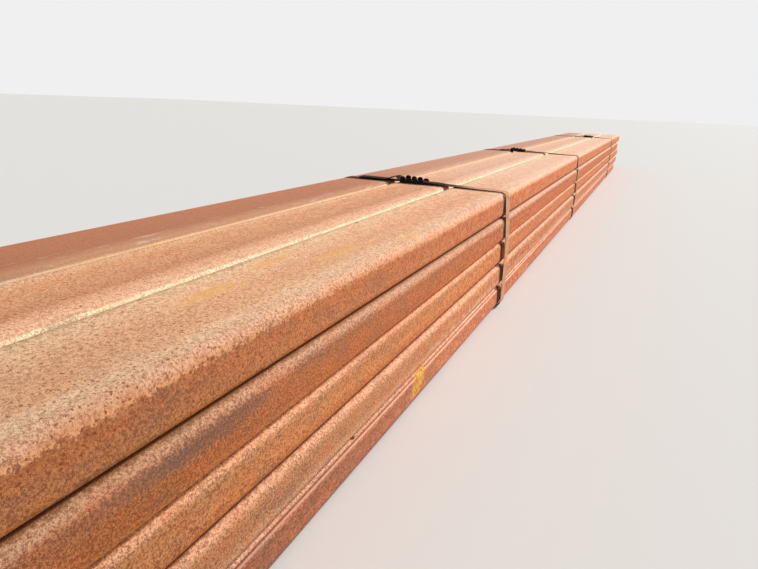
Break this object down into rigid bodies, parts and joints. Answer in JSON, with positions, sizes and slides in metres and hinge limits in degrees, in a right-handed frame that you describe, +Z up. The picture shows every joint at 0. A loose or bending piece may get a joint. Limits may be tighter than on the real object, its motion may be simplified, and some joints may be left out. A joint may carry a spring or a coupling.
{
  "type": "strapped bundle of rectangular hollow steel tubes",
  "caption": "Strapped bundle of rusty rectangular hollow steel tubes, wide faces flat, stacked in layers and bound with flat steel bands and crimped seals.",
  "frame": {"origin": "middle of the bundle's length and width, on the level that the undersides of the straps rest on", "axes": "+X along the tubes, towards the end with the top right tube pushed out; +Y across the bundle to the left; +Z up"},
  "size_m": [6.296, 0.392, 0.2712],
  "materials": {
    "tube_steel": "mill steel with an even, dry coat of orange-brown rust",
    "strap_steel": "thin rusted steel band",
    "seal_steel": "dark, oiled and rusted crimped seal"
  },
  "bodies": {
    "root": {"strap_1": "strap_steel", "strap_2": "strap_steel", "strap_3": "strap_steel", "strap_4": "strap_steel", "strap_seal_1": "seal_steel", "strap_seal_2": "seal_steel", "strap_seal_3": "seal_steel", "strap_seal_4": "seal_steel", "tube_layer1_left": "tube_steel", "tube_layer1_middle": "tube_steel", "tube_layer1_right": "tube_steel", "tube_layer2_left": "tube_steel", "tube_layer2_middle": "tube_steel", "tube_layer2_right": "tube_steel", "tube_layer3_left": "tube_steel", "tube_layer3_middle": "tube_steel", "tube_layer3_right": "tube_steel", "tube_layer4_left": "tube_steel", "tube_layer4_middle": "tube_steel", "tube_layer4_right": "tube_steel", "tube_layer5_left": "tube_steel", "tube_layer5_middle": "tube_steel", "tube_layer5_right": "tube_steel"}
  },
  "joints": []
}
